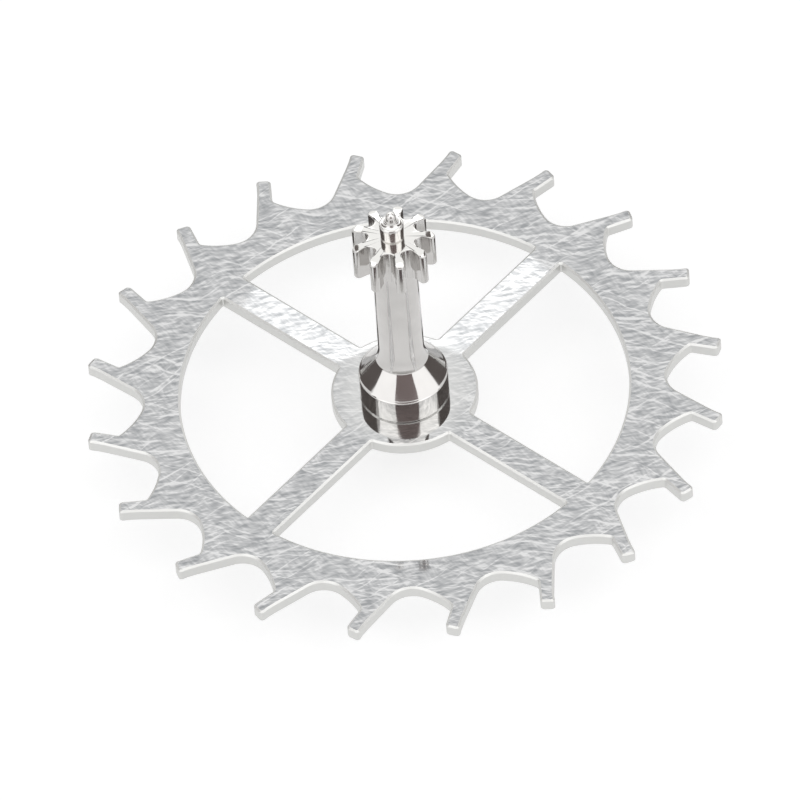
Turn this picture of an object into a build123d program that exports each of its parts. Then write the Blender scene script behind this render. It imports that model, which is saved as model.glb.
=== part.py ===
from build123d import *
from math import atan, cos, degrees, radians, sin, sqrt
import os

# Escape wheel of a watch, riveted on its pinion, in millimetres, with +Z up.
# The origin is the tip of the lower pivot, on the axis. The pinion's leaves are at the top.
# Seen from the top the teeth lean clockwise, which is the way the wheel is driven.

# Wheel plate
tip_radius = 2.30
plate_thickness = 0.10
rim_width = 0.267
hub_radius = 0.526
seat_radius = 0.21
spoke_count = 4
spoke_width = 0.24

# Teeth, whose angles are in degrees
tooth_count = 20
first_tooth_angle = 4.6
tooth_lean = 28.8
beak = 0.012
beak_length = 0.13
locking_corner_drop = 0.046
locking_face_drop = 0.185
impulse_angle = 2.4
locking_foot_angle = 0.4
locking_hollow = 0.007
root_drop = 0.198
root_fillet_share = 0.312
gap_floor_share = 1.03

# Arbor, from the lower pivot up
pivot_radius = 0.038
pivot_end_round = 0.025
lower_pivot_length = 0.20
lower_taper_height = 0.18
lower_taper_radius = 0.17
rivet_radius = 0.265
rivet_height = 0.04
collar_radius = 0.32
collar_height = 0.216
collar_bevel = 0.012
cone_height = 0.154
cone_top_radius = 0.19
shank_foot_height = 0.075
shank_foot_round = 0.44
shank_radius = 0.166
shank_top_radius = 0.162
shank_length = 0.923

# Leaves and the upper pivot
leaf_count = 9
first_leaf_angle = 36.2
leaf_length = 0.30
leaf_tip_radius = 0.304
leaf_tip_height = 0.042
leaf_root_radius = 0.175
leaf_thickness = 0.070
leaf_end_bevel = 0.045
leaf_end_bevel_height = 0.022
boss_radius = 0.088
boss_height = 0.13
boss_undercut = 0.004
boss_bevel = 0.01
upper_pivot_length = 0.103
upper_pivot_foot_round = 0.03
cutter_overrun = 0.03

# Radii of the teeth and the rim, from the tips inwards
locking_corner_radius = tip_radius - locking_corner_drop
locking_foot_radius = locking_corner_radius - locking_face_drop
root_radius = locking_foot_radius - root_drop
rim_inner_radius = root_radius - rim_width

# Levels along the arbor, worked out from the lengths above
rivet_foot = lower_pivot_length + lower_taper_height
plate_bottom = rivet_foot + rivet_height
plate_top = plate_bottom + plate_thickness
collar_top = plate_top + collar_height
cone_top = collar_top + cone_height
foot_top = cone_top + shank_foot_height
leaf_bottom = foot_top + shank_length
leaf_top = leaf_bottom + leaf_length
boss_top = leaf_top + boss_height
arbor_top = boss_top + upper_pivot_length

# One pitch of the teeth and of the leaves, and the tooth gap's arcs as shares of the pitch
tooth_pitch = 360 / tooth_count
leaf_pitch = 360 / leaf_count
root_chord = 2 * root_radius * sin(radians(tooth_pitch / 2))
root_fillet = root_chord * root_fillet_share
gap_floor_radius = root_chord * gap_floor_share


def polar(radius, angle):
    return Vector(radius * cos(radians(angle)), radius * sin(radians(angle)))


def arc_about(centre, start, end):
    # The shorter arc from start to end about the centre.
    radius = (start - centre).length
    middle = centre + ((start - centre) + (end - centre)).normalized() * radius
    return ThreePointArc(start, middle, end)


def circle_meeting(first, first_radius, second, second_radius):
    # Of the two points where two circles meet, the one further from the wheel's axis.
    across = second - first
    along = (first_radius**2 - second_radius**2 + across.length**2) / (2 * across.length)
    aside = sqrt(first_radius**2 - along**2)
    foot = first + across.normalized() * along
    sideways = across.normalized().rotate(Axis.Z, 90) * aside
    return max(foot + sideways, foot - sideways, key=lambda point: point.length)


def tooth_gap(angle):
    # One pitch of the outline, clockwise: a tooth's tip, its locking face, the gap and the next tooth's back.
    discharge_corner = polar(tip_radius, angle)
    locking_corner = polar(locking_corner_radius, angle - impulse_angle)
    locking_foot = polar(locking_foot_radius, angle - locking_foot_angle)
    impulse_face = Line(discharge_corner, locking_corner)

    face_direction = (locking_foot - locking_corner).normalized()
    face_middle = (locking_foot + locking_corner) / 2
    hollow_point = face_middle + face_direction.rotate(Axis.Z, -90) * locking_hollow
    locking_face = ThreePointArc(locking_corner, hollow_point, locking_foot)

    next_angle = angle - tooth_pitch
    next_corner = polar(tip_radius, next_angle)
    outward = polar(1, next_angle - tooth_lean)
    towards_gap = polar(1, next_angle - tooth_lean + 90)
    back_end = next_corner - towards_gap * beak

    # The fillet touches the tooth's back and the root circle, and the gap's floor runs into it.
    reach = back_end + towards_gap * root_fillet
    run = reach.dot(outward)
    back_length = run - sqrt(run**2 - reach.length**2 + (root_radius + root_fillet)**2)
    fillet_centre = reach - outward * back_length
    back_start = back_end - outward * back_length
    floor_centre = circle_meeting(locking_foot, gap_floor_radius, fillet_centre, gap_floor_radius - root_fillet)
    floor_end = floor_centre + (fillet_centre - floor_centre).normalized() * gap_floor_radius

    beak_start = back_end - outward * beak_length
    floor = arc_about(floor_centre, locking_foot, floor_end)
    fillet_arc = arc_about(fillet_centre, floor_end, back_start)
    back = Line(back_start, beak_start)
    beak_arc = TangentArc(beak_start, next_corner, tangent=outward)
    return [impulse_face, locking_face, floor, fillet_arc, back, beak_arc]


def wheel_windows():
    # The four openings between the spokes, which stand on the diagonals.
    spokes = Sketch()
    bar_length = hub_radius + rim_inner_radius
    for index in range(spoke_count):
        angle = (index + 0.5) * 360 / spoke_count
        spokes += Rot(0, 0, angle) * Pos(bar_length / 2, 0) * Rectangle(bar_length, spoke_width)
    return Circle(rim_inner_radius) - Circle(hub_radius) - spokes


def escape_wheel():
    edges = []
    for index in range(tooth_count):
        edges += tooth_gap(first_tooth_angle + index * -tooth_pitch)
    outline = make_face(Wire(edges))
    plate_face = outline - wheel_windows() - Circle(seat_radius)
    return Pos(0, 0, plate_bottom) * extrude(plate_face, plate_thickness)


def rounded(profile, radius, level, size):
    # The profile with its corner at that radius and level rounded.
    corner = profile.vertices().sort_by_distance(Vector(radius, 0, level))[0]
    return fillet(corner, size)


def turned_blank():
    # Everything that the lathe makes, from the lower pivot's tip to the upper one's.
    corners = [
        (0, 0),
        (pivot_radius, 0),
        (pivot_radius, lower_pivot_length),
        (lower_taper_radius, rivet_foot),
        (seat_radius, rivet_foot),
        (rivet_radius, plate_bottom),
        (seat_radius, plate_bottom),
        (seat_radius, plate_top),
        (collar_radius, plate_top),
        (collar_radius, collar_top - collar_bevel),
        (collar_radius - collar_bevel, collar_top),
        (cone_top_radius, cone_top),
        (shank_radius, foot_top),
        (shank_top_radius, leaf_bottom),
        (leaf_tip_radius, leaf_bottom),
        (leaf_tip_radius, leaf_top - leaf_end_bevel_height),
        (leaf_tip_radius - leaf_end_bevel, leaf_top),
        (boss_radius - boss_undercut, leaf_top),
        (boss_radius, boss_top - boss_bevel),
        (boss_radius - boss_bevel, boss_top),
        (pivot_radius, boss_top),
        (pivot_radius, arbor_top),
        (0, arbor_top),
    ]
    edges = Polyline([(radius, 0, level) for radius, level in corners], close=True)
    profile = make_face(edges)
    profile = rounded(profile, pivot_radius, 0, pivot_end_round)
    profile = rounded(profile, pivot_radius, boss_top, upper_pivot_foot_round)
    profile = rounded(profile, pivot_radius, arbor_top, pivot_end_round)
    profile = rounded(profile, shank_radius, foot_top, shank_foot_round)
    return revolve(profile, Axis.Z)


def leaf_plan():
    # Leaves with radial flanks and domed tips, and a round-bottomed space after each.
    tip_foot = leaf_tip_radius - leaf_tip_height
    half_leaf = degrees(atan(leaf_thickness / 2 / tip_foot))
    half_space = leaf_pitch / 2 - half_leaf
    flank_top = tip_foot / cos(radians(half_leaf))
    space_centre = leaf_root_radius / (1 - sin(radians(half_space)))
    flank_foot = space_centre * cos(radians(half_space))
    edges = []
    for index in range(leaf_count):
        angle = first_leaf_angle + index * leaf_pitch
        space_start = polar(flank_foot, angle + half_leaf)
        space_end = polar(flank_foot, angle + leaf_pitch - half_leaf)
        space_floor = polar(leaf_root_radius, angle + leaf_pitch / 2)
        tip = EllipticalCenterArc(
            polar(tip_foot, angle),
            leaf_tip_height,
            leaf_thickness / 2,
            start_angle=-90,
            arc_size=180,
            rotation=angle,
        )
        edges.append(tip)
        edges.append(Line(polar(flank_top, angle + half_leaf), space_start))
        edges.append(ThreePointArc(space_start, space_floor, space_end))
        edges.append(Line(space_end, polar(flank_top, angle + leaf_pitch - half_leaf)))
    return make_face(Wire(edges))


def escape_pinion():
    waste = Circle(leaf_tip_radius + cutter_overrun) - leaf_plan()
    cut_length = leaf_length + 2 * cutter_overrun
    cutter = Pos(0, 0, leaf_bottom - cutter_overrun) * extrude(waste, cut_length)
    return turned_blank() - cutter


os.makedirs("parts", exist_ok=True)
export_step(escape_wheel(), "parts/escape_wheel.step")
export_step(escape_pinion(), "parts/escape_pinion.step")
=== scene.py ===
import bpy
import math
from mathutils import Matrix, Vector


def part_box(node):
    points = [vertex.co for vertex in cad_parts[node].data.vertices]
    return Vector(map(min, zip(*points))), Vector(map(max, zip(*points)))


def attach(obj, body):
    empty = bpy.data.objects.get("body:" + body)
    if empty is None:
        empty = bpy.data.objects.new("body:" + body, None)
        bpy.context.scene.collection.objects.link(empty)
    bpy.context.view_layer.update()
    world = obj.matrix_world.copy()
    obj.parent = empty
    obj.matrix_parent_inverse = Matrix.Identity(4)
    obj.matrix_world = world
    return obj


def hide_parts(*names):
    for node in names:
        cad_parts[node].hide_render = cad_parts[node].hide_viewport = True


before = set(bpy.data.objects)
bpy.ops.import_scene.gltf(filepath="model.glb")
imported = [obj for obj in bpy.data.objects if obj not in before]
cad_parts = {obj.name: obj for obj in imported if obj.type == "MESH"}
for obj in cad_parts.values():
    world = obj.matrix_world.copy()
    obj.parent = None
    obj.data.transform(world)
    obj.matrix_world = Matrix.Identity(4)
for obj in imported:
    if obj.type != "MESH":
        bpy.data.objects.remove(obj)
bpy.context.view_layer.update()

# Escape wheel of a watch on its pinion. The meshes are drawn in millimetres, and brought to metres
# when they are finished.
mm = 0.001
print("frame loaded:", list(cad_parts))


# drawing by hand, with Blender's own tools
drawing = {
    "joinDistance": 0.0005,  # mm, where a copy meets the next one
    "radiusMargin": 0.01,  # mm, when an edge is told by its radius
    "levelMargin": 0.002,  # mm, when a vertex is told by its level
}


def selectNothing():
    if bpy.context.object and bpy.context.object.mode != "OBJECT":
        bpy.ops.object.mode_set(mode="OBJECT")
    bpy.ops.object.select_all(action="DESELECT")


def startDrawing(name, start):
    # one vertex, from which the outline is drawn on
    selectNothing()
    bpy.ops.mesh.primitive_plane_add(size=1)
    piece = bpy.context.object
    piece.name = piece.data.name = name
    bpy.ops.object.mode_set(mode="EDIT")
    bpy.ops.mesh.select_all(action="SELECT")
    bpy.ops.mesh.merge(type="CENTER")
    bpy.ops.transform.translate(value=start)
    return piece


def drawLine(start, end):
    step = Vector(end) - Vector(start)
    bpy.ops.mesh.extrude_region_move(TRANSFORM_OT_translate={"value": step})


def drawArc(centre, degrees, steps, axis=(0, 0, 1)):
    # spin turns clockwise about its axis, so the angle changes its sign
    bpy.ops.mesh.spin(steps=steps, angle=-math.radians(degrees), center=centre, axis=axis)


def repeatAround(count):
    bpy.ops.mesh.select_all(action="SELECT")
    turn = math.radians(360) * (count - 1) / count
    bpy.ops.mesh.spin(steps=count - 1, dupli=True, angle=turn, center=(0, 0, 0), axis=(0, 0, 1))
    bpy.ops.mesh.select_all(action="SELECT")
    bpy.ops.mesh.remove_doubles(threshold=drawing["joinDistance"])


def polar(radius, degrees):
    turn = math.radians(degrees)
    return Vector((radius * math.cos(turn), radius * math.sin(turn), 0))


def turned(vector, degrees):
    return Matrix.Rotation(math.radians(degrees), 3, "Z") @ vector


def angleBetween(centre, start, end):
    # signed, in degrees, anticlockwise seen from above
    first, second = start - centre, end - centre
    return math.degrees(math.atan2(first.x * second.y - first.y * second.x, first.dot(second)))


def roundEdges(piece, width, segments, shareOf):
    # shareOf gets an edge's two ends and the angle between its faces in degrees,
    # and gives the edge's share of the width
    bpy.ops.object.mode_set(mode="OBJECT")
    mesh = piece.data
    faces = {edge.key: [] for edge in mesh.edges}
    for face in mesh.polygons:
        for key in face.edge_keys:
            faces[key].append(face.normal)
    weights = mesh.attributes.new("bevel_weight_edge", "FLOAT", "EDGE")
    for edge in mesh.edges:
        normals = faces[edge.key]
        angle = math.degrees(normals[0].angle(normals[1])) if len(normals) == 2 else 0
        first, second = (mesh.vertices[index].co for index in edge.vertices)
        weights.data[edge.index].value = shareOf(first, second, angle)
    bevel = piece.modifiers.new("edge bevel", "BEVEL")
    bevel.width = width
    bevel.segments = segments
    bevel.limit_method = "WEIGHT"
    bevel.use_clamp_overlap = False
    bevel.loop_slide = False
    bpy.ops.object.modifier_apply(modifier=bevel.name)
    mesh.attributes.remove(mesh.attributes["bevel_weight_edge"])


def finishPiece(piece, material, smoothAngle):
    bpy.ops.object.mode_set(mode="OBJECT")
    bpy.ops.object.shade_smooth_by_angle(angle=math.radians(smoothAngle))
    weighted = piece.modifiers.new("weighted normals", "WEIGHTED_NORMAL")
    weighted.keep_sharp = True
    bpy.ops.object.modifier_apply(modifier=weighted.name)
    piece.scale = (mm, mm, mm)
    bpy.ops.object.transform_apply(location=True, rotation=True, scale=True)
    piece.data.materials.clear()
    piece.data.materials.append(material)
    print(piece.name, "is made:", len(piece.data.polygons), "faces")


# materials
def linear(code):
    # an sRGB hex colour as the linear values that the nodes expect
    values = [int(code[place:place + 2], 16) / 255 for place in (0, 2, 4)]
    return [v / 12.92 if v <= 0.04045 else ((v + 0.055) / 1.055) ** 2.4 for v in values] + [1]


def addNode(tree, kind, settings=None, **links):
    # one node with its settings and its inputs. An input goes by its name, or by its number as i2,
    # and gets a socket to link or else a value.
    node = tree.nodes.new(kind)
    for key, value in (settings or {}).items():
        setattr(node, key, value)
    for key, value in links.items():
        numbered = key[0] == "i" and key[1:].isdigit()
        socket = node.inputs[int(key[1:])] if numbered else node.inputs[key.replace("_", " ")]
        if isinstance(value, bpy.types.NodeSocket):
            tree.links.new(value, socket)
        else:
            socket.default_value = value
    return node


def newMaterial(name):
    material = bpy.data.materials.new(name)
    material.use_nodes = True
    material.node_tree.nodes.clear()
    return material, material.node_tree


# Hardened steel, lapped flat on a plate charged with grit. To the eye it is a grey mirror under
# short crossing strokes, with a few long scratches. Near the hub it is slightly domed, and there
# its colour is drawn paler, a painted highlight for the brighter reflection round the hub. The
# strokes and scratches are drawn about three times as wide as real grit leaves them, so that they
# show.
lappedSteel = {
    "dark": "A0A2A4",
    "darkAt": 0.36,
    "middle": "BEBFC0",
    "middleAt": 0.50,
    "bright": "E4E4E4",
    "brightAt": 0.67,
    "roughnessFrom": 0.3,
    "roughnessTo": 0.7,
    "darkRoughness": 0.08,
    "brightRoughness": 0.03,
    # degrees, mm long, mm wide
    "strokes": (
        (-52, 0.08, 0.024),
        (-15, 0.11, 0.026),
        (17, 0.11, 0.026),
        (2, 0.14, 0.028),
    ),
    "strokeShare": 0.40,  # of each direction over those before it
    "strokeDetail": 1,
    "scratches": ((-30, 1.0, 0.028), (32, 0.8, 0.026), (-8, 0.8, 0.028)),
    "scratchFrom": 0.70,
    "scratchTo": 0.86,
    "scratchGain": 0.16,
    "scratchDetail": 0,
    "fineShare": 0.55,  # of each finer layer in the noise
    "shift": (0.7, 0.4),  # mm, from one direction's pattern to the next
    "sway": 0.12,  # mm
    "swaySpacing": 0.30,  # mm
    "bump": 0.00006,  # mm
    "domes": ((0.034, 0.35, 1.1), (0.046, 0.6, 1.68)),  # mm high, from and to this radius
    # painted highlight: the steel round the hub is drawn in this paler colour, for the brighter
    # reflection it shows
    "hub": "E6E6E4",
    "hubFrom": 0.368,  # mm
    "hubTo": 0.598,  # mm
    "hubHighlightShare": 0.6,
    "hubRelief": 0.5,
    # painted reflection: the cut sides and chamfers are drawn paler than the lapped face, so that
    # the floor they reflect shows brighter
    "side": "D7D7D5",
    "sideRoughness": 0.42,
    "sideFrom": 0.90,  # how far a face points up or down where it counts as a cut side
    "flatFrom": 0.99,  # and where it is lapped all over
}


def addStrokes(tree, place, strokes, detail):
    # one noise for each direction, drawn out along it
    layers = []
    shiftX, shiftY = lappedSteel["shift"]
    for index, (angle, length, width) in enumerate(strokes):
        laid = addNode(
            tree, "ShaderNodeMapping", {"vector_type": "TEXTURE"}, Vector=place,
            Rotation=(0, 0, math.radians(angle)),
            Scale=(length * mm, width * mm, length * mm),
            Location=(shiftX * mm * index, shiftY * mm * index, 0),
        ).outputs["Vector"]
        layers.append(addNode(
            tree, "ShaderNodeTexNoise", {"noise_dimensions": "2D"}, Vector=laid,
            Scale=1, Detail=detail, Roughness=lappedSteel["fineShare"],
        ).outputs["Fac"])
    return layers


def makeLappedSteel():
    steel = lappedSteel
    material, tree = newMaterial("lapped_hardened_steel")
    place = addNode(tree, "ShaderNodeTexCoord").outputs["Object"]
    # a hand leads the plate, so that no stroke is quite straight
    sway = addNode(
        tree, "ShaderNodeTexNoise", Vector=place, Scale=1 / (steel["swaySpacing"] * mm), Detail=1,
    ).outputs["Color"]
    swayed = addNode(
        tree, "ShaderNodeVectorMath", {"operation": "MULTIPLY_ADD"},
        i0=sway, i1=(steel["sway"] * mm,) * 3, i2=place,
    ).outputs[0]
    grain = None
    for layer in addStrokes(tree, swayed, steel["strokes"], steel["strokeDetail"]):
        if grain is None:
            grain = layer
        else:
            grain = addNode(
                tree, "ShaderNodeMix", {"data_type": "FLOAT"},
                i0=steel["strokeShare"], i2=grain, i3=layer,
            ).outputs["Result"]
    # of the scratches only the noise's crests are left
    scratch = None
    for layer in addStrokes(tree, swayed, steel["scratches"], steel["scratchDetail"]):
        line = addNode(
            tree, "ShaderNodeMapRange", Value=layer,
            From_Min=steel["scratchFrom"], From_Max=steel["scratchTo"],
        ).outputs["Result"]
        if scratch is None:
            scratch = line
        else:
            scratch = addNode(
                tree, "ShaderNodeMath", {"operation": "MAXIMUM"}, i0=scratch, i1=line,
            ).outputs[0]
    shade = addNode(
        tree, "ShaderNodeMath", {"operation": "MULTIPLY_ADD", "use_clamp": True},
        i0=scratch, i1=steel["scratchGain"], i2=grain,
    ).outputs[0]
    # the cut sides and the rounded edges have none of it
    upward = addNode(
        tree, "ShaderNodeSeparateXYZ",
        Vector=addNode(tree, "ShaderNodeTexCoord").outputs["Normal"],
    ).outputs["Z"]
    upward = addNode(tree, "ShaderNodeMath", {"operation": "ABSOLUTE"}, i0=upward).outputs[0]
    flatness = addNode(
        tree, "ShaderNodeMapRange", Value=upward,
        From_Min=steel["sideFrom"], From_Max=steel["flatFrom"],
    ).outputs["Result"]
    shade = addNode(
        tree, "ShaderNodeMix", {"data_type": "FLOAT"}, i0=flatness, i2=0.5, i3=shade,
    ).outputs["Result"]
    ramp = addNode(tree, "ShaderNodeValToRGB", Fac=shade)
    ramp.color_ramp.elements[0].position = steel["darkAt"]
    ramp.color_ramp.elements[0].color = linear(steel["dark"])
    ramp.color_ramp.elements[1].position = steel["brightAt"]
    ramp.color_ramp.elements[1].color = linear(steel["bright"])
    ramp.color_ramp.elements.new(steel["middleAt"]).color = linear(steel["middle"])
    # round the hub the strokes are faint, and the colour is paler: a painted highlight
    flat = addNode(
        tree, "ShaderNodeVectorMath", {"operation": "MULTIPLY"}, i0=place, i1=(1, 1, 0),
    ).outputs[0]
    reach = addNode(
        tree, "ShaderNodeVectorMath", {"operation": "LENGTH"}, i0=flat,
    ).outputs["Value"]
    outside = addNode(
        tree, "ShaderNodeMapRange", Value=reach,
        From_Min=steel["hubFrom"] * mm, From_Max=steel["hubTo"] * mm,
    ).outputs["Result"]
    relief = addNode(
        tree, "ShaderNodeMapRange", Value=outside, To_Min=steel["hubRelief"], To_Max=1,
    ).outputs["Result"]
    relief = addNode(
        tree, "ShaderNodeMath", {"operation": "MULTIPLY"}, i0=shade, i1=relief,
    ).outputs[0]
    hubHighlightShare = addNode(
        tree, "ShaderNodeMapRange", Value=outside, To_Min=steel["hubHighlightShare"], To_Max=0,
    ).outputs["Result"]
    colour = addNode(
        tree, "ShaderNodeMix", {"data_type": "RGBA"},
        i0=hubHighlightShare, i6=ramp.outputs["Color"], i7=linear(steel["hub"]),
    ).outputs["Result"]
    # the slight dome, as a height that falls away from the axis
    dome = None
    for high, near, far in steel["domes"]:
        part = addNode(
            tree, "ShaderNodeMapRange", {"interpolation_type": "SMOOTHSTEP"}, Value=reach,
            From_Min=near * mm, From_Max=far * mm, To_Min=high * mm, To_Max=0,
        ).outputs["Result"]
        if dome is None:
            dome = part
        else:
            dome = addNode(
                tree, "ShaderNodeMath", {"operation": "ADD"}, i0=dome, i1=part,
            ).outputs[0]
    height = addNode(
        tree, "ShaderNodeMath", {"operation": "MULTIPLY_ADD"},
        i0=relief, i1=steel["bump"] * mm, i2=dome,
    ).outputs[0]
    normal = addNode(
        tree, "ShaderNodeBump", Strength=1, Distance=1, Height=height,
    ).outputs["Normal"]
    rough = addNode(
        tree, "ShaderNodeMapRange", Value=shade,
        From_Min=steel["roughnessFrom"], From_Max=steel["roughnessTo"],
        To_Min=steel["darkRoughness"], To_Max=steel["brightRoughness"],
    ).outputs["Result"]
    rough = addNode(
        tree, "ShaderNodeMix", {"data_type": "FLOAT"},
        i0=flatness, i2=steel["sideRoughness"], i3=rough,
    ).outputs["Result"]
    # the cut sides take the paler side colour, a painted reflection of the bright floor
    colour = addNode(
        tree, "ShaderNodeMix", {"data_type": "RGBA"},
        i0=flatness, i6=linear(steel["side"]), i7=colour,
    ).outputs["Result"]
    shader = addNode(
        tree, "ShaderNodeBsdfPrincipled",
        Base_Color=colour, Metallic=1, Roughness=rough, Normal=normal,
    )
    addNode(tree, "ShaderNodeOutputMaterial", Surface=shader.outputs[0])
    return material


# Hardened steel, turned and then burnished. To the eye it is a mirror, slightly uneven, with faint
# rings from the lathe. Its end faces are polished on tin, and their colour is drawn paler than what
# is turned, a painted highlight for the brighter reflection they show.
burnishedSteel = {
    "colour": "D1CFCD",
    "deep": "C5C3C1",
    "roughness": 0.06,
    "wornRoughness": 0.11,
    "ringSpacing": 0.012,  # mm, the tool's feed in one turn
    "ringLength": 50,  # mm, so that a ring goes all the way round
    "ringDepth": 0.00004,  # mm
    "wave": 0.0006,  # mm
    "waveSpacing": 0.12,  # mm
    # painted highlight: the end faces are drawn in this paler colour, for their brighter reflection
    "ends": "EFEEEB",
    "turnedFrom": 0.80,  # how far a face points up where it counts as turned
    "endsFrom": 0.95,  # and where it is an end face
}


def makeBurnishedSteel():
    steel = burnishedSteel
    material, tree = newMaterial("burnished_hardened_steel")
    place = addNode(tree, "ShaderNodeTexCoord").outputs["Object"]
    across, along = 1 / (steel["ringLength"] * mm), 1 / (steel["ringSpacing"] * mm)
    level = addNode(
        tree, "ShaderNodeMapping", Vector=place, Scale=(across, across, along),
    ).outputs["Vector"]
    rings = addNode(tree, "ShaderNodeTexNoise", Vector=level, Scale=1, Detail=2).outputs["Fac"]
    wave = addNode(
        tree, "ShaderNodeTexNoise", Vector=place, Scale=1 / (steel["waveSpacing"] * mm), Detail=1,
    ).outputs["Fac"]
    fine = addNode(
        tree, "ShaderNodeMath", {"operation": "MULTIPLY"}, i0=rings, i1=steel["ringDepth"] * mm,
    ).outputs[0]
    height = addNode(
        tree, "ShaderNodeMath", {"operation": "MULTIPLY_ADD"},
        i0=wave, i1=steel["wave"] * mm, i2=fine,
    ).outputs[0]
    normal = addNode(
        tree, "ShaderNodeBump", Strength=1, Distance=1, Height=height,
    ).outputs["Normal"]
    rough = addNode(
        tree, "ShaderNodeMapRange", Value=wave,
        To_Min=steel["roughness"], To_Max=steel["wornRoughness"],
    ).outputs["Result"]
    colour = addNode(
        tree, "ShaderNodeMix", {"data_type": "RGBA"},
        i0=wave, i6=linear(steel["deep"]), i7=linear(steel["colour"]),
    ).outputs["Result"]
    facing = addNode(
        tree, "ShaderNodeSeparateXYZ",
        Vector=addNode(tree, "ShaderNodeTexCoord").outputs["Normal"],
    ).outputs["Z"]
    facing = addNode(
        tree, "ShaderNodeMapRange", Value=facing,
        From_Min=steel["turnedFrom"], From_Max=steel["endsFrom"],
    ).outputs["Result"]
    # the end faces take the paler colour, a painted highlight
    colour = addNode(
        tree, "ShaderNodeMix", {"data_type": "RGBA"},
        i0=facing, i6=colour, i7=linear(steel["ends"]),
    ).outputs["Result"]
    shader = addNode(
        tree, "ShaderNodeBsdfPrincipled",
        Base_Color=colour, Metallic=1, Roughness=rough, Normal=normal,
    )
    addNode(tree, "ShaderNodeOutputMaterial", Surface=shader.outputs[0])
    return material


# the wheel plate, with twenty club teeth and four windows, in millimetres and degrees
plateLow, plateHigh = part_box("escape_wheel")
wheelPlate = {
    "bottom": plateLow.z / mm,
    "thickness": (plateHigh.z - plateLow.z) / mm,
    "tipRadius": 2.30,
    "rimInnerRadius": 1.604,
    "rimSteps": 40,
    "hubRadius": 0.526,
    "hubSteps": 18,
    "boreRadius": 0.21,
    "boreSteps": 64,
    "spokes": 4,
    "spokeWidth": 0.24,
    "teeth": 20,
    "firstTooth": 4.6,
    "lean": 28.8,
    "beak": 0.012,
    "beakLength": 0.13,
    "beakSteps": 2,
    "lockingCornerRadius": 2.254,
    "lockingFootRadius": 2.069,
    "impulseAngle": 2.4,
    "lockingFootAngle": 0.4,
    "rootRadius": 1.871,
    "rootFillet": 0.1826,
    "filletSteps": 12,
    "gapFloor": 0.603,
    "floorSteps": 8,
    "flatAngle": 0.5,  # faces that differ by less become one
    "tipRound": 0.028,
    "tipSegments": 5,
    "cornerShare": 0.5,  # of the tips' round, on the other corners
    "cornerAngle": 15,  # upright edges that are sharper are rounded
    "chamferWidth": 0.016,
    "chamferDepth": 0.010,
    "chamferAngle": 45,  # edges that are sharper are chamfered
    "underShare": 0.6,  # of the chamfer, on the under side
    "mergeDistance": 0.0015,
    "smoothAngle": 20,
}


def circlesMeeting(first, firstRadius, second, secondRadius):
    # of the two points where two circles meet, the one further out
    across = second - first
    along = (firstRadius**2 - secondRadius**2 + across.length**2) / (2 * across.length)
    aside = math.sqrt(firstRadius**2 - along**2)
    foot = first + across.normalized() * along
    sideways = turned(across.normalized(), 90) * aside
    return max(foot + sideways, foot - sideways, key=lambda point: point.length)


def drawTooth(plate, angle):
    # one pitch of the outline, clockwise: impulse face, locking face, gap and the next tooth's back
    pitch = 360 / plate["teeth"]
    fillet, gapFloor = plate["rootFillet"], plate["gapFloor"]
    corner = polar(plate["tipRadius"], angle)
    locking = polar(plate["lockingCornerRadius"], angle - plate["impulseAngle"])
    foot = polar(plate["lockingFootRadius"], angle - plate["lockingFootAngle"])
    outward = polar(1, angle - pitch - plate["lean"])
    towards = polar(1, angle - pitch - plate["lean"] + 90)
    nextCorner = polar(plate["tipRadius"], angle - pitch)
    backEnd = nextCorner - towards * plate["beak"]
    reach = backEnd + towards * fillet
    run = reach.dot(outward)
    length = run - math.sqrt(run**2 - reach.length**2 + (plate["rootRadius"] + fillet)**2)
    filletCentre = reach - outward * length
    backStart = backEnd - outward * length
    floorCentre = circlesMeeting(foot, gapFloor, filletCentre, gapFloor - fillet)
    floorEnd = floorCentre + (filletCentre - floorCentre).normalized() * gapFloor
    beakStart = backEnd - outward * plate["beakLength"]

    piece = startDrawing("escape_wheel_plate", corner)
    drawLine(corner, locking)
    drawLine(locking, foot)
    drawArc(floorCentre, angleBetween(floorCentre, foot, floorEnd), plate["floorSteps"])
    drawArc(filletCentre, angleBetween(filletCentre, floorEnd, backStart), plate["filletSteps"])
    drawLine(backStart, beakStart)
    # the beak is an arc that leaves the back along its own line
    chord = nextCorner - beakStart
    radius = chord.length**2 / (2 * chord.dot(-towards))
    beakCentre = beakStart - towards * radius
    drawArc(beakCentre, angleBetween(beakCentre, beakStart, nextCorner), plate["beakSteps"])
    return piece


def drawWindows(plate):
    half = plate["spokeWidth"] / 2
    rim, hub = plate["rimInnerRadius"], plate["hubRadius"]
    halfPitch = 180 / plate["spokes"]
    rimHalf = halfPitch - math.degrees(math.asin(half / rim))
    hubHalf = halfPitch - math.degrees(math.asin(half / hub))
    start = polar(rim, rimHalf)
    piece = startDrawing("window", start)
    drawArc((0, 0, 0), -2 * rimHalf, plate["rimSteps"])
    drawLine(polar(rim, -rimHalf), polar(hub, -hubHalf))
    drawArc((0, 0, 0), 2 * hubHalf, plate["hubSteps"])
    drawLine(polar(hub, hubHalf), start)
    repeatAround(plate["spokes"])
    bpy.ops.object.mode_set(mode="OBJECT")
    return piece


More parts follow.
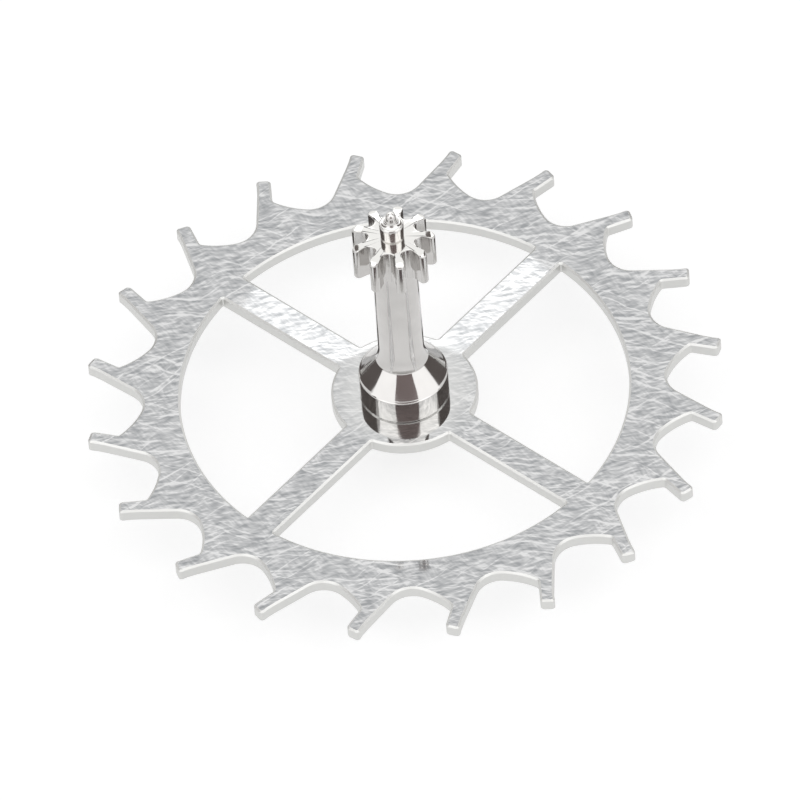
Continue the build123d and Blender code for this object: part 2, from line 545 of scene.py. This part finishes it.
def makeWheelPlate(material):
    plate = wheelPlate
    piece = drawTooth(plate, plate["firstTooth"])
    repeatAround(plate["teeth"])
    window = drawWindows(plate)
    selectNothing()
    piece.select_set(True)
    window.select_set(True)
    bpy.context.view_layer.objects.active = piece
    bpy.ops.object.join()
    bpy.ops.object.mode_set(mode="EDIT")
    bpy.ops.mesh.select_all(action="DESELECT")
    bpy.ops.mesh.primitive_circle_add(vertices=plate["boreSteps"], radius=plate["boreRadius"])
    bpy.ops.mesh.select_all(action="SELECT")
    bpy.ops.mesh.fill(use_beauty=True)
    bpy.ops.mesh.select_all(action="SELECT")
    bpy.ops.mesh.dissolve_limited(
        angle_limit=math.radians(plate["flatAngle"]), use_dissolve_boundaries=False,
    )
    bpy.ops.mesh.select_all(action="SELECT")
    upwards = (0, 0, plate["thickness"])
    bpy.ops.mesh.extrude_region_move(TRANSFORM_OT_translate={"value": upwards})
    bpy.ops.mesh.select_all(action="SELECT")
    bpy.ops.transform.translate(value=(0, 0, plate["bottom"]))
    bpy.ops.mesh.normals_make_consistent(inside=False)
    middle = plate["bottom"] + plate["thickness"] / 2

    def cornerShare(first, second, angle):
        # the upright corners: well rounded at the teeth's tips, broken elsewhere
        if angle < plate["cornerAngle"] or (first.z > middle) == (second.z > middle):
            return 0
        tips = plate["lockingCornerRadius"] - drawing["radiusMargin"]
        return 1 if first.xy.length > tips else plate["cornerShare"]

    def rimShare(first, second, angle):
        # the lapped side's edges have a wide chamfer, the under side's are only broken
        bore = plate["boreRadius"] + drawing["radiusMargin"]
        if angle < plate["chamferAngle"] or first.xy.length < bore:
            return 0
        return 1 if first.z > middle else plate["underShare"]

    roundEdges(piece, plate["tipRound"], plate["tipSegments"], cornerShare)
    roundEdges(piece, plate["chamferWidth"], 1, rimShare)
    # the chamfer is shallower than it is wide, so its foot comes up
    foot = plate["bottom"] + plate["thickness"] - plate["chamferWidth"]
    bpy.ops.object.mode_set(mode="EDIT")
    bpy.ops.mesh.select_mode(type="VERT")
    bpy.ops.mesh.select_all(action="DESELECT")
    bpy.ops.object.mode_set(mode="OBJECT")
    for vertex in piece.data.vertices:
        vertex.select = abs(vertex.co.z - foot) < drawing["levelMargin"]
    bpy.ops.object.mode_set(mode="EDIT")
    bpy.ops.transform.translate(value=(0, 0, plate["chamferWidth"] - plate["chamferDepth"]))
    bpy.ops.mesh.select_all(action="SELECT")
    bpy.ops.mesh.remove_doubles(threshold=plate["mergeDistance"])
    finishPiece(piece, material, plate["smoothAngle"])
    return piece


# the arbor: everything that the lathe turns, then the leaf spaces, in millimetres and degrees
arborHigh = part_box("escape_pinion")[1]
arbor = {
    "steps": 144,
    "pivotRadius": 0.038,
    "pivotRound": 0.025,
    "pivotSteps": 5,
    "lowerPivotTop": 0.20,
    "rivetFoot": 0.38,
    "plateBottom": wheelPlate["bottom"],
    "plateTop": wheelPlate["bottom"] + wheelPlate["thickness"],
    "lowerTaperRadius": 0.17,
    "seatRadius": wheelPlate["boreRadius"],
    "rivetRadius": 0.265,
    "collarRadius": 0.32,
    "collarTop": 0.736,
    "collarBevel": 0.012,
    "collarBevelWidth": 0.018,
    "coneTop": 0.89,
    "coneTopRadius": 0.19,
    "footTop": 0.965,
    "footRound": 0.44,
    "footSteps": 8,
    "shankRadius": 0.166,
    "shankTopRadius": 0.162,
    "leafBottom": 1.888,
    "leafTop": 2.188,
    "blankRadius": 0.310,
    "endDrop": 0.030,
    "endMiddleRadius": 0.270,
    "endMiddleDrop": 0.008,
    "endFlatRadius": 0.220,
    "bossRadius": 0.088,
    "bossUndercut": 0.004,
    "bossBevel": 0.010,
    "bossTop": 2.318,
    "pivotFootRound": 0.038,
    "pivotFootSteps": 6,
    "pivotTipRound": 0.034,
    "pivotTipSteps": 8,
    "top": arborHigh.z / mm,
    "edgeRound": 0.010,
    "edgeSegments": 2,
    "edgeShare": 0.35,  # of the leaf ends' round, on the other edges
    "edgeAngle": 25,  # edges that are sharper are rounded
    "mergeDistance": 0.0002,
    "smoothAngle": 28,
}
leaves = {
    "count": 9,
    "first": 36.2,
    "tipRadius": 0.304,
    "tipSteps": 12,
    "thickness": 0.070,
    "rootRadius": 0.175,
    "rootSteps": 12,
    "overrun": 0.03,
    "cutterRadius": 0.36,
    "cutterSteps": 36,
}


def filletArc(before, corner, after, radius):
    # where a fillet starts and ends, its centre and its turn about -Y,
    # for a profile drawn in the XZ plane
    first, second = (before - corner).normalized(), (after - corner).normalized()
    half = first.angle(second) / 2
    start, end = (corner + side * (radius / math.tan(half)) for side in (first, second))
    centre = corner + (first + second).normalized() * (radius / math.sin(half))
    a, b = start - centre, end - centre
    turn = math.degrees(math.atan2(a.x * b.z - a.z * b.x, a.dot(b)))
    return start, end, centre, turn


def makeBlank():
    # each point is a radius and a level, and a rounded one has its round and steps as well
    part = arbor
    bossFoot = part["bossRadius"] - part["bossUndercut"]
    points = [
        (0, 0),
        (part["pivotRadius"], 0, part["pivotRound"], part["pivotSteps"]),
        (part["pivotRadius"], part["lowerPivotTop"]),
        (part["lowerTaperRadius"], part["rivetFoot"]),
        (part["seatRadius"], part["rivetFoot"]),
        (part["rivetRadius"], part["plateBottom"]),
        (part["seatRadius"], part["plateBottom"]),
        (part["seatRadius"], part["plateTop"]),
        (part["collarRadius"] - part["collarBevel"], part["plateTop"]),
        (part["collarRadius"], part["plateTop"] + part["collarBevel"]),
        (part["collarRadius"], part["collarTop"] - part["collarBevel"]),
        (part["collarRadius"] - part["collarBevelWidth"], part["collarTop"]),
        (part["coneTopRadius"], part["coneTop"]),
        (part["shankRadius"], part["footTop"], part["footRound"], part["footSteps"]),
        (part["shankTopRadius"], part["leafBottom"]),
        (part["blankRadius"], part["leafBottom"]),
        (part["blankRadius"], part["leafTop"] - part["endDrop"]),
        (part["endMiddleRadius"], part["leafTop"] - part["endMiddleDrop"]),
        (part["endFlatRadius"], part["leafTop"]),
        (bossFoot - part["bossBevel"], part["leafTop"]),
        (bossFoot, part["leafTop"] + part["bossBevel"]),
        (part["bossRadius"], part["bossTop"] - part["bossBevel"]),
        (part["bossRadius"] - part["bossBevel"], part["bossTop"]),
        (part["pivotRadius"], part["bossTop"], part["pivotFootRound"], part["pivotFootSteps"]),
        (part["pivotRadius"], part["top"], part["pivotTipRound"], part["pivotTipSteps"]),
        (0, part["top"]),
    ]
    spots = [Vector((point[0], 0, point[1])) for point in points]
    piece = startDrawing("escape_pinion_arbor", spots[0])
    here = spots[0]
    for index in range(1, len(points)):
        if len(points[index]) == 4:
            radius, steps = points[index][2:]
            start, end, centre, turn = filletArc(*spots[index - 1:index + 2], radius)
            drawLine(here, start)
            drawArc(centre, turn, steps, axis=(0, -1, 0))
            here = end
        else:
            drawLine(here, spots[index])
            here = spots[index]
    bpy.ops.mesh.select_all(action="SELECT")
    bpy.ops.mesh.spin(
        steps=part["steps"], angle=math.radians(360), center=(0, 0, 0), axis=(0, 0, 1),
    )
    bpy.ops.mesh.select_all(action="SELECT")
    bpy.ops.mesh.remove_doubles(threshold=part["mergeDistance"])
    bpy.ops.mesh.normals_make_consistent(inside=False)
    bpy.ops.object.mode_set(mode="OBJECT")
    return piece


def makeLeafCutter():
    # the waste round the leaves: a disc with the leaves' plan left out of it
    plan = leaves
    pitch = 360 / plan["count"]
    tipCentreRadius = plan["tipRadius"] - plan["thickness"] / 2
    halfLeaf = math.degrees(math.asin(plan["thickness"] / 2 / tipCentreRadius))
    halfSpace = pitch / 2 - halfLeaf
    flankTop = tipCentreRadius * math.cos(math.radians(halfLeaf))
    spaceCentre = plan["rootRadius"] / (1 - math.sin(math.radians(halfSpace)))
    flankFoot = spaceCentre * math.cos(math.radians(halfSpace))
    angle = plan["first"]
    tip = polar(tipCentreRadius, angle)
    right, left = polar(flankTop, angle - halfLeaf), polar(flankTop, angle + halfLeaf)
    nextRight = polar(flankTop, angle + pitch - halfLeaf)
    spaceStart = polar(flankFoot, angle + halfLeaf)
    spaceEnd = polar(flankFoot, angle + pitch - halfLeaf)
    floorCentre = polar(spaceCentre, angle + pitch / 2)
    piece = startDrawing("leaf_cutter", right)
    drawArc(tip, 180 + 2 * halfLeaf, plan["tipSteps"])
    drawLine(left, spaceStart)
    drawArc(floorCentre, -(180 - 2 * halfSpace), plan["rootSteps"])
    drawLine(spaceEnd, nextRight)
    repeatAround(plan["count"])
    bpy.ops.mesh.select_all(action="DESELECT")
    bpy.ops.mesh.primitive_circle_add(vertices=plan["cutterSteps"], radius=plan["cutterRadius"])
    bpy.ops.mesh.select_all(action="SELECT")
    bpy.ops.mesh.fill(use_beauty=True)
    bpy.ops.mesh.select_all(action="SELECT")
    upwards = (0, 0, arbor["leafTop"] - arbor["leafBottom"] + 2 * plan["overrun"])
    bpy.ops.mesh.extrude_region_move(TRANSFORM_OT_translate={"value": upwards})
    bpy.ops.mesh.select_all(action="SELECT")
    bpy.ops.transform.translate(value=(0, 0, arbor["leafBottom"] - plan["overrun"]))
    bpy.ops.mesh.normals_make_consistent(inside=False)
    bpy.ops.object.mode_set(mode="OBJECT")
    return piece


def makeArbor(material):
    piece = makeBlank()
    cutter = makeLeafCutter()
    selectNothing()
    piece.select_set(True)
    bpy.context.view_layer.objects.active = piece
    cut = piece.modifiers.new("leaf spaces", "BOOLEAN")
    cut.operation = "DIFFERENCE"
    cut.solver = "EXACT"
    cut.object = cutter
    bpy.ops.object.modifier_apply(modifier=cut.name)
    bpy.data.objects.remove(cutter)

    def arborShare(first, second, angle):
        # the leaves' ends are well rounded, all other edges only broken
        if angle < arbor["edgeAngle"]:
            return 0
        onEnds = min(first.z, second.z) > arbor["leafTop"] - arbor["endDrop"]
        onLeaves = first.xy.length > arbor["bossRadius"] + drawing["radiusMargin"]
        return 1 if onEnds and onLeaves else arbor["edgeShare"]

    roundEdges(piece, arbor["edgeRound"], arbor["edgeSegments"], arborShare)
    finishPiece(piece, material, arbor["smoothAngle"])
    return piece


plateMaterial = makeLappedSteel()
arborMaterial = makeBurnishedSteel()
print("materials are made")
wheel = makeWheelPlate(plateMaterial)
pinion = makeArbor(arborMaterial)

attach(wheel, "root")
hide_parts("escape_wheel")
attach(pinion, "root")
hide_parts("escape_pinion")

# the camera: a long lens, fitted to the outline of the wheel in the photograph
cameraView = {
    "elevation": 48.82,
    "azimuth": -1.6,
    "roll": -4.65,
    "distance": 0.240,  # m
    "frameWidth": 0.0057070,  # m, at the wheel
    "middleHeight": plateHigh.z,  # m, the plate's upper face
    "shiftRight": 0.0000330,  # m
    "shiftUp": 0.0000741,  # m
    "sensorWidth": 36,
    "clipStart": 0.001,  # m
    "clipEnd": 10,  # m
}


def directionAt(azimuth, elevation):
    # azimuth 0 is the side of the photograph, and it grows to the right as seen from there
    turn, rise = math.radians(azimuth + cameraView["azimuth"] - 90), math.radians(elevation)
    across = math.cos(rise)
    return Vector((math.cos(turn) * across, math.sin(turn) * across, math.sin(rise)))


def makeCamera():
    view = cameraView
    back = directionAt(0, view["elevation"])
    right = directionAt(90, 0)
    up = back.cross(right)
    roll = math.radians(view["roll"])
    frameRight = right * math.cos(roll) + up * math.sin(roll)
    frameUp = up * math.cos(roll) - right * math.sin(roll)
    middle = Vector((0, 0, view["middleHeight"]))
    middle = middle - frameRight * view["shiftRight"] - frameUp * view["shiftUp"]
    selectNothing()
    bpy.ops.object.camera_add(location=middle + back * view["distance"])
    camera = bpy.context.object
    camera.rotation_mode = "QUATERNION"
    axes = Matrix((frameRight, frameUp, back)).transposed()
    camera.rotation_quaternion = axes.to_quaternion()
    camera.data.sensor_width = view["sensorWidth"]
    camera.data.lens = view["sensorWidth"] * view["distance"] / view["frameWidth"]
    camera.data.clip_start = view["clipStart"]
    camera.data.clip_end = view["clipEnd"]
    bpy.context.scene.camera = camera


# the studio: a pale floor and a white room, four soft boxes, and matt cards between them, which
# the polished steel shows as its dark places
studio = {
    "boxDistance": 0.16,  # m
    "boxes": (
        # azimuth, elevation, width and height in degrees, and radiance, where 1 is white
        ("left soft box", -52.5, 38, 60, 60, 0.52),
        ("right soft box", 58, 38, 58, 60, 0.52),
        ("back soft box", 174, 37, 76, 17, 0.72),
        ("top soft box", 0, 80, 84, 50, 0.35),
    ),
    "cards": (
        # azimuth in degrees, mm away, mm from and to this level, mm wide, colour
        ("low left card", -115, 4, 0, 1.0, 6.4, "dark"),
        ("low right card", 119, 4, 0, 1.0, 5.8, "dark"),
        ("low back card", 180, 3.1, 0, 1.2, 3.4, "pale"),
        ("far left card", -103.5, 100, 0, 23, 83, "dark"),
        ("far right card", 107.5, 100, 0, 23, 75, "dark"),
        ("far front card", 3, 100, 21, 57, 107, "brown"),
        ("high front card", 3, 100, 84, 150, 115, "brown"),
        ("high left card", -115, 100, 84, 150, 174, "dark"),
        ("high right card", 125, 100, 84, 150, 156, "dark"),
    ),
    "cardColours": {"brown": "8A7E7D", "dark": "6A6462", "pale": "CACACA"},
    "floorWidth": 1.2,  # m
    "paper": "C4C4C4",
    "paperLift": 0.655,  # what lifts the floor to white for the camera and for the steel
    "roomLight": 0.35,  # the room's light on the object, against 1 in what is seen of it
}


def makeSoftBox(name, azimuth, elevation, width, height, radiance):
    away = studio["boxDistance"]
    sizeX = 2 * away * math.tan(math.radians(width / 2))
    sizeY = 2 * away * math.tan(math.radians(height / 2))
    facing = directionAt(azimuth, elevation)
    bpy.ops.object.light_add(type="AREA", location=facing * away)
    lamp = bpy.context.object
    lamp.name = name
    lamp.data.shape = "RECTANGLE"
    lamp.data.size, lamp.data.size_y = sizeX, sizeY
    lamp.data.energy = radiance * math.pi * sizeX * sizeY
    lamp.rotation_mode = "QUATERNION"
    lamp.rotation_quaternion = facing.to_track_quat("Z", "Y")


def makeCard(name, azimuth, away, low, high, width, material):
    # an upright card that faces the axis, seen only in the polished steel
    facing = directionAt(azimuth, 0)
    place = facing * away * mm + Vector((0, 0, (low + high) / 2 * mm))
    bpy.ops.mesh.primitive_plane_add(size=1, location=place)
    card = bpy.context.object
    card.name = name.replace(" ", "_")
    card.scale = (width * mm, (high - low) * mm, 1)
    card.rotation_mode = "QUATERNION"
    card.rotation_quaternion = facing.to_track_quat("Z", "Y")
    card.data.materials.append(material)
    card.visible_camera = card.visible_diffuse = card.visible_shadow = False
    card.visible_transmission = False


def makeCardMaterial(name, colour):
    material, tree = newMaterial(name)
    shader = addNode(tree, "ShaderNodeEmission", Color=linear(colour), Strength=1)
    addNode(tree, "ShaderNodeOutputMaterial", Surface=shader.outputs[0])
    return material


def seenShare(tree):
    # 1 in what the camera, metal and glass show of a thing, and 0 in its light on the object
    rays = addNode(tree, "ShaderNodeLightPath").outputs
    seen = rays["Is Camera Ray"]
    for ray in ("Is Glossy Ray", "Is Transmission Ray"):
        seen = addNode(
            tree, "ShaderNodeMath", {"operation": "MAXIMUM"}, i0=seen, i1=rays[ray],
        ).outputs[0]
    return seen


def makeFloor():
    # white paper. The emission lifts it to white, and the diffuse part keeps the soft shadow.
    bpy.ops.mesh.primitive_plane_add(size=studio["floorWidth"])
    floor = bpy.context.object
    floor.name = "paper_floor"
    paper, tree = newMaterial("white_paper")
    lift = addNode(
        tree, "ShaderNodeMath", {"operation": "MULTIPLY"},
        i0=seenShare(tree), i1=studio["paperLift"],
    ).outputs[0]
    glow = addNode(tree, "ShaderNodeEmission", Color=(1, 1, 1, 1), Strength=lift)
    matt = addNode(tree, "ShaderNodeBsdfDiffuse", Color=linear(studio["paper"]))
    both = addNode(tree, "ShaderNodeAddShader", i0=glow.outputs[0], i1=matt.outputs[0])
    addNode(tree, "ShaderNodeOutputMaterial", Surface=both.outputs[0])
    floor.data.materials.append(paper)


def makeRoom():
    world = bpy.data.worlds.new("white room")
    world.use_nodes = True
    bpy.context.scene.world = world
    tree = world.node_tree
    tree.nodes.clear()
    level = addNode(
        tree, "ShaderNodeMapRange", Value=seenShare(tree), To_Min=studio["roomLight"], To_Max=1,
    ).outputs["Result"]
    shader = addNode(tree, "ShaderNodeBackground", Color=(1, 1, 1, 1), Strength=level)
    addNode(tree, "ShaderNodeOutputWorld", Surface=shader.outputs[0])


def makeStudio():
    selectNothing()
    for box in studio["boxes"]:
        makeSoftBox(*box)
    cardMaterials = {
        colour: makeCardMaterial(colour + "_matt_card", code)
        for colour, code in studio["cardColours"].items()
    }
    for *card, colour in studio["cards"]:
        makeCard(*card, cardMaterials[colour])
    makeFloor()
    makeRoom()


makeCamera()
makeStudio()
print("camera and studio are set")

bpy.context.scene.view_settings.view_transform = "Standard"
